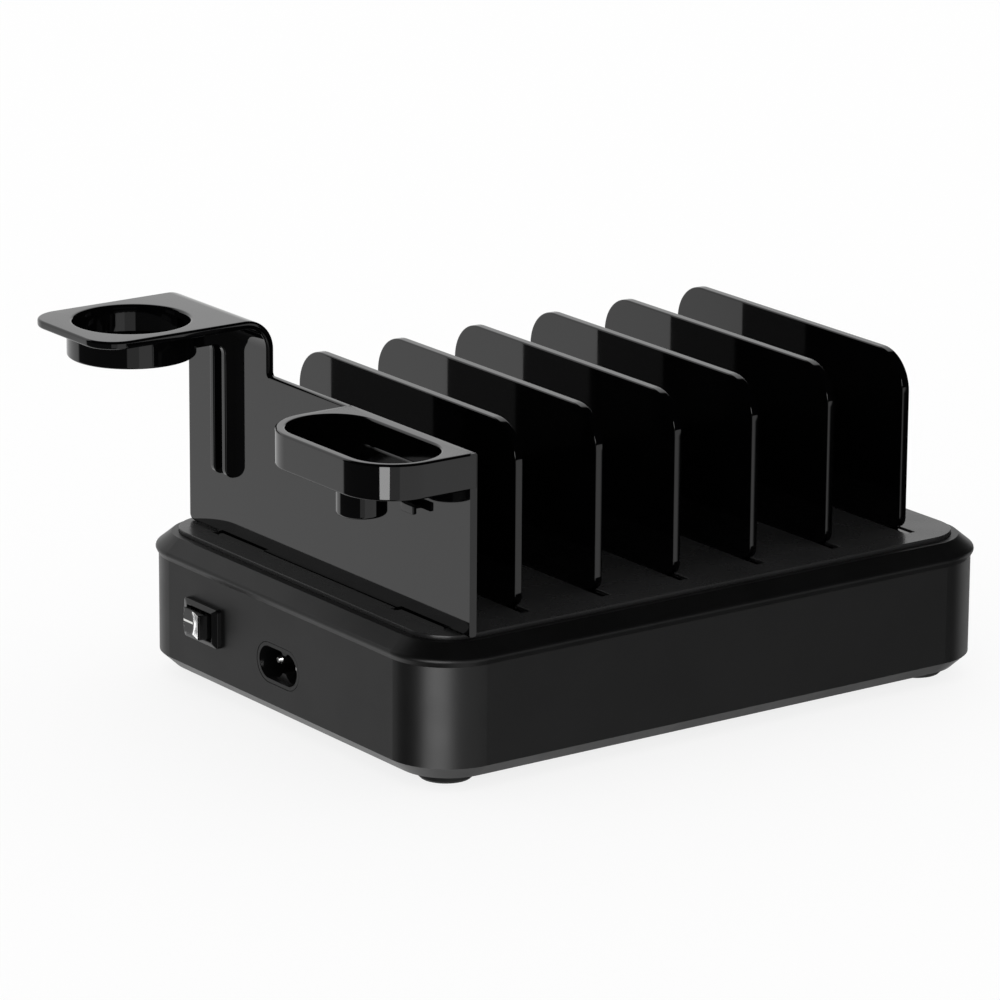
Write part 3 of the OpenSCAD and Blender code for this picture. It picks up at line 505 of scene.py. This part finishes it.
def makeHolderPlate():
    h, p = holder, puckSeat
    bm = bmesh.new()
    points = [(h["tongueBack"], h["tongueLow"]), (h["tongueNear"], h["tongueLow"]),
              (h["tongueNear"], h["foot"]), (h["near"] + h["spare"], h["foot"]),
              (h["near"] + h["spare"], h["lowTop"]), (h["armNear"], h["lowTop"]),
              (h["armNear"], h["bendZ"]), (h["back"], h["bendZ"]), (h["back"], h["foot"]),
              (h["tongueBack"], h["foot"])]
    radii = [0, 0, 0, h["lowRadius"], h["topRadius"], h["innerRadius"], 0, 0, h["lowRadius"], 0]
    edges = outline(bm, [(h["front"], across, up) for across, up in points], radii, 6)
    bmesh.ops.contextual_create(bm, geom=edges)
    # the sheet is bent over at its top edge, and then runs on as the arm
    top = [edge for edge in bm.edges if all(abs(dot.co.z - h["bendZ"]) < 0.01 for dot in edge.verts)]
    bent = bmesh.ops.spin(bm, geom=top, cent=(h["bendX"], 0, h["bendZ"]), axis=(0, 1, 0),
                          angle=radians(90), steps=h["bendParts"], use_duplicate=False)["geom_last"]
    pulled = bmesh.ops.extrude_edge_only(bm, edges=pick(bent, bmesh.types.BMEdge))["geom"]
    tips = pick(pulled, bmesh.types.BMVert)
    bmesh.ops.translate(bm, verts=tips, vec=(h["armEnd"] - h["bendX"], 0, 0))
    for tip in tips:
        roundCorner(bm, tip, h["armCorner"], 12)
    bm.faces.ensure_lookup_table()
    arm = max(bm.faces, key=lambda face: face.calc_center_median().x)
    border = list(arm.edges)
    bmesh.ops.delete(bm, geom=[arm], context="FACES_ONLY")
    seat = Matrix.Translation((p["x"], p["y"], h["bendZ"] + h["bendInner"]))
    hole = bmesh.ops.create_circle(bm, cap_ends=False, segments=p["parts"], radius=p["rim"],
                                   matrix=seat)
    inside = list({edge for dot in hole["verts"] for edge in dot.link_edges})
    bmesh.ops.triangle_fill(bm, edges=border + inside, use_beauty=True, normal=(0, 0, -1))
    bmesh.ops.recalc_face_normals(bm, faces=bm.faces)
    bmesh.ops.solidify(bm, geom=bm.faces[:], thickness=-h["thick"])
    middle = Vector((p["x"], p["y"]))
    beyondHole = sharpEdges(bm, lambda at: (at.to_2d() - middle).length > p["rim"] + p["margin"])
    softenEdges(bm, beyondHole, h["edge"], 4)
    # the near end is cut off square
    whole = bm.verts[:] + bm.edges[:] + bm.faces[:]
    cut = bmesh.ops.bisect_plane(bm, geom=whole, dist=0.0001, plane_co=(0, h["near"], 0),
                                 plane_no=(0, 1, 0), clear_outer=True)["geom_cut"]
    bmesh.ops.holes_fill(bm, edges=pick(cut, bmesh.types.BMEdge))
    makePiece("holderPlate", bm, paints["gloss"], "holder", ["accessory_holder"])


def spunRing(bm, profile, radii, parts, turn=360.0, start=0.0):
    # a closed outline of (radius, height) turned about the upright axis
    edges = outline(bm, [(across, 0, up) for across, up in profile], radii, 4)
    bmesh.ops.rotate(bm, verts=bm.verts, cent=(0, 0, 0), matrix=Matrix.Rotation(radians(start), 3, "Z"))
    if turn < 360:
        face = bmesh.ops.contextual_create(bm, geom=edges)["faces"]
        shape = face + edges + bm.verts[:]
    else:
        shape = edges + bm.verts[:]
    bmesh.ops.spin(bm, geom=shape, cent=(0, 0, 0), axis=(0, 0, 1), angle=radians(turn), steps=parts,
                   use_duplicate=False, use_merge=turn >= 360)


def makePuckSeat():
    p, h = puckSeat, holder
    under = h["bendZ"] + h["bendInner"]
    top = under + h["thick"]
    bm = bmesh.new()
    spunRing(bm, [(p["radius"], under), (p["rim"], under), (p["rim"], top), (p["radius"], top)],
             [0, 0, 0, p["rimEdge"]], p["parts"])
    makePiece("puckRim", bm, paints["gloss"], "holder", ["accessory_holder"],
              Matrix.Translation((p["x"], p["y"], 0)))
    bm = bmesh.new()
    high = under + p["overlap"]
    profile = [(p["lipRadius"], p["low"]), (p["collar"], p["low"]), (p["collar"], high),
               (p["radius"], high), (p["radius"], p["lipTop"]), (p["lipRadius"], p["lipTop"])]
    radii = [p["lipEdge"], p["collarEdge"], 0, 0, p["seatEdge"], p["lipEdge"]]
    spunRing(bm, profile, radii, p["parts"], 360.0 - p["gap"], 180 + p["gap"] / 2)
    makePiece("puckCollar", bm, paints["gloss"], "holder", ["accessory_holder"],
              Matrix.Translation((p["x"], p["y"], 0)))


# two ribs that lead the puck's lead along the arm and down the plate
rib = {
    "in": 73.0, "out": 76.5, "low": 53.0, "under": 87.6, "top": 95.2, "end": 86.2,
    "endRadius": 2.5, "fillet": 3, "tipRadius": 0.5, "bend": 6.6,
    "thick": 1.8, "offset": 2.6, "edge": 0.35,
}


def makeRibs():
    r = rib
    bm = bmesh.new()
    for side in (-1, 1):
        part = bmesh.new()
        points = [(r["in"], r["low"]), (r["out"], r["low"]), (r["out"], r["under"]),
                  (r["end"], r["under"]), (r["end"], r["top"]), (r["in"], r["top"])]
        radii = [0, r["endRadius"], r["fillet"], r["tipRadius"], 0, r["bend"]]
        slab(part, [(across, up, 0) for across, up in points], radii, r["thick"])
        softenEdges(part, sharpEdges(part), r["edge"], 3)
        middle = puckSeat["y"] + side * r["offset"] + r["thick"] / 2
        place = Matrix.Translation((0, middle, 0)) @ fromSide
        bmesh.ops.transform(part, matrix=place, verts=part.verts)
        joined = bpy.data.meshes.new("rib")
        part.to_mesh(joined)
        part.free()
        bm.from_mesh(joined)
        bpy.data.meshes.remove(joined)
    makePiece("cableRibs", bm, paints["gloss"], "holder", ["accessory_holder"])


# earbud pocket with the boss for a plug under it
pocket = {
    "low": (71.58, 10.5), "high": (100.1, 62.52), "cornerRadius": 14, "backRadius": 0.25,
    "top": 82.13, "bottom": 73.3,
    "mouthLow": (75.2, 13.3), "mouthHigh": (97.6, 60.6), "floor": 75.3,
    "bossX": 86.4, "bossY": 36.5, "bossRadius": 6.1, "bossLow": 63.7, "sink": 0.3,
    "plug": (2.7, 4.2), "rimEdge": 0.6, "lowEdge": 0.5, "bossEdge": 0.8, "parts": 16,
    "slack": 0.01,          # round ends stop this far short of meeting
}


def bossRings(bm, across, along, heights):
    # rounded outlines about the middle of the plug's boss
    p = pocket
    low, high = (p["bossX"] - across, p["bossY"] - along), (p["bossX"] + across, p["bossY"] + along)
    return [ring(bm, low, high, height, [across - p["slack"]] * 4, p["parts"]) for height in heights]


def makePocket():
    p = pocket
    bm = bmesh.new()
    mouth = (p["mouthHigh"][0] - p["mouthLow"][0]) / 2 - p["slack"] * 2
    outer = [p["backRadius"], p["cornerRadius"], p["cornerRadius"], p["backRadius"]]
    inside = [ring(bm, p["mouthLow"], p["mouthHigh"], p[level], [mouth] * 4, p["parts"])
              for level in ("floor", "top")]
    outside = [ring(bm, p["low"], p["high"], p[level], outer, p["parts"])
               for level in ("top", "bottom")]
    plug = bossRings(bm, *p["plug"], (p["bottom"], p["floor"]))
    rings = inside + outside + plug
    loft(bm, rings + rings[:1])
    softenEdges(bm, inside[1] + outside[0], p["rimEdge"], 4)
    softenEdges(bm, inside[0] + outside[1], p["lowEdge"], 3)
    makePiece("earbudPocket", bm, paints["gloss"], "holder", ["accessory_holder"])
    bm = bmesh.new()
    high = p["bottom"] + p["sink"]
    rings = (bossRings(bm, p["bossRadius"], p["bossRadius"], (high, p["bossLow"]))
             + bossRings(bm, *p["plug"], (p["bossLow"], high)))
    loft(bm, rings + rings[:1])
    softenEdges(bm, rings[1], p["bossEdge"], 4)
    softenEdges(bm, rings[2], p["lowEdge"], 3)
    makePiece("plugBoss", bm, paints["gloss"], "holder", ["accessory_holder"])


hook = {
    "in": 73.0, "out": 76.6, "thick": 1.1, "low": 63.3, "height": 2.2,
    "stem": (38.2, 39.8), "end": 43.6, "corner": 0.6, "innerCorner": 0.4, "edge": 0.25,
}
tab = {
    "in": 73.0, "out": 74.9, "low": 27.3, "top": 36.9,
    "half": 10, "middles": (-35.35, 42.65), "corner": 0.5, "edge": 0.3,
}


def makeHook():
    k = hook
    bm = bmesh.new()
    finger = k["out"] - k["thick"]
    points = [(k["in"], k["stem"][0]), (k["out"], k["stem"][0]), (k["out"], k["end"]),
              (finger, k["end"]), (finger, k["stem"][1]), (k["in"], k["stem"][1])]
    radii = [0, k["corner"], 0, 0, k["innerCorner"], 0]
    slab(bm, [(*point, k["low"]) for point in points], radii, k["height"], 4)
    softenEdges(bm, sharpEdges(bm), k["edge"], 2)
    makePiece("leadHook", bm, paints["gloss"], "holder", ["accessory_holder"])


def makeTabs():
    t = tab
    bm = bmesh.new()
    for middle in t["middles"]:
        back, front = middle - t["half"], middle + t["half"]
        points = [(t["in"], back), (t["out"], back), (t["out"], front), (t["in"], front)]
        radii = [0, t["corner"], t["corner"], 0]
        slab(bm, [(*point, t["low"]) for point in points], radii, t["top"] - t["low"], 3)
    softenEdges(bm, sharpEdges(bm), t["edge"], 2)
    makePiece("holderTabs", bm, paints["gloss"], "holder", ["accessory_holder"])


# switch: drawn in Y and Z from its own middle, rising along X
switch = {
    "y": -32.5, "z": 19.1, "wall": 86.02, "long": 15, "high": 10, "corner": 0.8,
    "side": 87.25, "ridge": 87.75, "mouth": (5.1, 3.35), "flare": 0.35, "flareDeep": 0.6,
    "body": (13.2, 8.6), "back": 74.0, "floor": 76.0, "edge": 0.25,
    "mouthCorner": 0.3, "flareCorner": 0.4, "bodyCorner": 0.3,
}
rocker = {
    "bottom": 16.0, "top": 22.3, "edge": 0.22, "sections": 7,
    "footBack": (83.2, -34.4), "footNear": (83.2, -30.6),
    "endLow": (86.0, -28.1), "endTop": (90.3, -29.0),
    "valley": (88.9, -33.9), "bow": 1.1, "bowRise": 0.02,
    "farTop": (88.85, -37.7), "farLow": (86.0, -36.9),
    "radii": [0.3, 0.3, 0.3, 0.45, 0.9, 0.15, 0.3],  # of rockerSection's corners, in turn
    "markLong": 4.2, "markWide": 0.5, "markFrom": -37.6, "markOut": 0.09, "markDeep": 0.1,
    "markRadius": 0.1,
}


def bezelRing(bm, halfLong, halfHigh, out, radius):
    low = (switch["y"] - halfLong, switch["z"] - halfHigh)
    high = (switch["y"] + halfLong, switch["z"] + halfHigh)
    return ring(bm, low, high, out, [radius] * 4, 5)


def makeSwitch():
    s = switch
    bm = bmesh.new()
    long, high = s["long"] / 2, s["high"] / 2
    bodyLong, bodyHigh = s["body"][0] / 2, s["body"][1] / 2
    mouthLong, mouthHigh = s["mouth"]
    rings = [
        bezelRing(bm, mouthLong, mouthHigh, s["floor"], s["mouthCorner"]),
        bezelRing(bm, mouthLong, mouthHigh, s["ridge"] - s["flareDeep"], s["mouthCorner"]),
        bezelRing(bm, mouthLong + s["flare"], mouthHigh + s["flare"], s["ridge"], s["flareCorner"]),
        bezelRing(bm, long, high, s["side"], s["corner"]),
        bezelRing(bm, long, high, s["wall"], s["corner"]),
        bezelRing(bm, bodyLong, bodyHigh, s["wall"], s["bodyCorner"]),
        bezelRing(bm, bodyLong, bodyHigh, s["back"], s["bodyCorner"]),
    ]
    loft(bm, rings)
    for end in (rings[0], rings[-1]):
        bmesh.ops.contextual_create(bm, geom=end)
    softenEdges(bm, rings[3] + rings[2], s["edge"], 3)
    makePiece("switchBezel", bm, paints["switch"], "base", ["switch_frame"], sideways)


def rockerSection(bm, height, shift):
    # the rocker seen from above, whose valley moves towards the near end by shift
    k = rocker
    valley = (k["valley"][0] + shift * k["bowRise"], k["valley"][1] + shift)
    spots = [k["footBack"], k["footNear"], k["endLow"], k["endTop"], valley, k["farTop"], k["farLow"]]
    return outline(bm, [(*spot, height) for spot in spots], k["radii"], 5)


def makeRocker():
    k = rocker
    bm = bmesh.new()
    rings = []
    last = k["sections"] - 1
    for part in range(k["sections"]):
        across = part * 2 / last - 1
        height = k["bottom"] + (k["top"] - k["bottom"]) * part / last
        rings.append(rockerSection(bm, height, k["bow"] * (1 - across * across)))
    loft(bm, rings)
    for end in (rings[0], rings[-1]):
        bmesh.ops.contextual_create(bm, geom=end)
    softenEdges(bm, rings[0] + rings[-1], k["edge"], 3)
    makePiece("rockerCap", bm, paints["switch"], "rocker", ["switch_rocker"])
    # the plain white mark of the switched-on side
    bm = bmesh.new()
    low = (k["markFrom"], switch["z"] - k["markWide"] / 2)
    high = (k["markFrom"] + k["markLong"], switch["z"] + k["markWide"] / 2)
    height = k["farTop"][0] + k["markOut"] - k["markDeep"]
    edges = ring(bm, low, high, height, [k["markRadius"]] * 4, 2)
    face = bmesh.ops.contextual_create(bm, geom=edges)["faces"]
    raised = bmesh.ops.extrude_face_region(bm, geom=face, use_keep_orig=True)["geom"]
    bmesh.ops.translate(bm, verts=pick(raised, bmesh.types.BMVert), vec=(0, 0, k["markDeep"]))
    makePiece("rockerMark", bm, paints["mark"], "rocker", [], sideways)


paints = {
    "case": mouldedPlastic("casePlastic", {"Specular IOR Level": 0.34}),
    "gloss": mouldedPlastic("glossPlastic"),
    "plate": mouldedPlastic("platePlastic", {"Specular IOR Level": 0.3}),
    "switch": mouldedPlastic("switchPlastic", {"Specular IOR Level": 0.35}),
    "rubber": mouldedPlastic("footRubber"),
    "mark": mouldedPlastic("whiteMark"),
    "nickel": brightMetal("nickelPlate", (0.8, 0.8, 0.79), (0.55, 0.55, 0.54), 0.14),
    "steel": brightMetal("zincSteel", (0.6, 0.6, 0.62), (0.4, 0.4, 0.4), 0.28),
    "aluminium": brushedMetal("sinkAluminium", (0.72, 0.72, 0.74), (0.55, 0.55, 0.57), 0.3),
    "board": greenBoard("solderMask", (0.010, 0.075, 0.03), (0.03, 0.17, 0.07), 0.3),
    "ferrite": mouldedPlastic("ferriteGrey"),
    "tape": windingPaint("yellowTape", (0.62, 0.42, 0.05), (0.5, 0.32, 0.03), 3.0, "Z", 0.35),
    "copper": windingPaint("copperTurns", (0.62, 0.26, 0.1), (0.2, 0.07, 0.025), 0.9, "X", 0.3, 0.9),
    "sleeve": mouldedPlastic("sleeve"),
    "transistor": mouldedPlastic("transistorPlastic"),
    "blackWire": mouldedPlastic("blackWire"),
    "redWire": mouldedPlastic("redWire"),
}

slotPaints = {
    "case_plastic": "case", "gloss_plastic": "gloss", "switch_plastic": "switch",
    "foot_rubber": "rubber", "contact_metal": "nickel", "screw_steel": "steel", "board": "board",
    "ferrite": "ferrite", "tape": "tape", "copper": "copper", "capacitor_sleeve": "sleeve",
    "sink_aluminium": "aluminium", "wire_black": "blackWire", "wire_red": "redWire",
}
nodePaints = {"inlet_body": "case", "power_transistors": "transistor"}

makeCamera()
makeFloor()
makeWorld()
bpy.context.scene.view_settings.view_transform = "Standard"
print("camera, floor and light are set")

for name, node in nodes.items():
    slot = node.data.materials[0].name
    node.data.materials[0] = paints[nodePaints.get(name, slotPaints[slot])]
print("the moulded case, the inlet, the outlets and the inner parts are painted")

makeTopPlate()
print("top plate is made")

for number in range(1, divider["count"] + 1):
    makeDivider(number)
print("dividers are made")

makeHolderPlate()
makePuckSeat()
makeRibs()
makePocket()
makeHook()
makeTabs()
print("accessory holder is made")

makeSwitch()
makeRocker()
print("switch is made")

for name in glints:
    makeGlint(name)
print("glints are set")
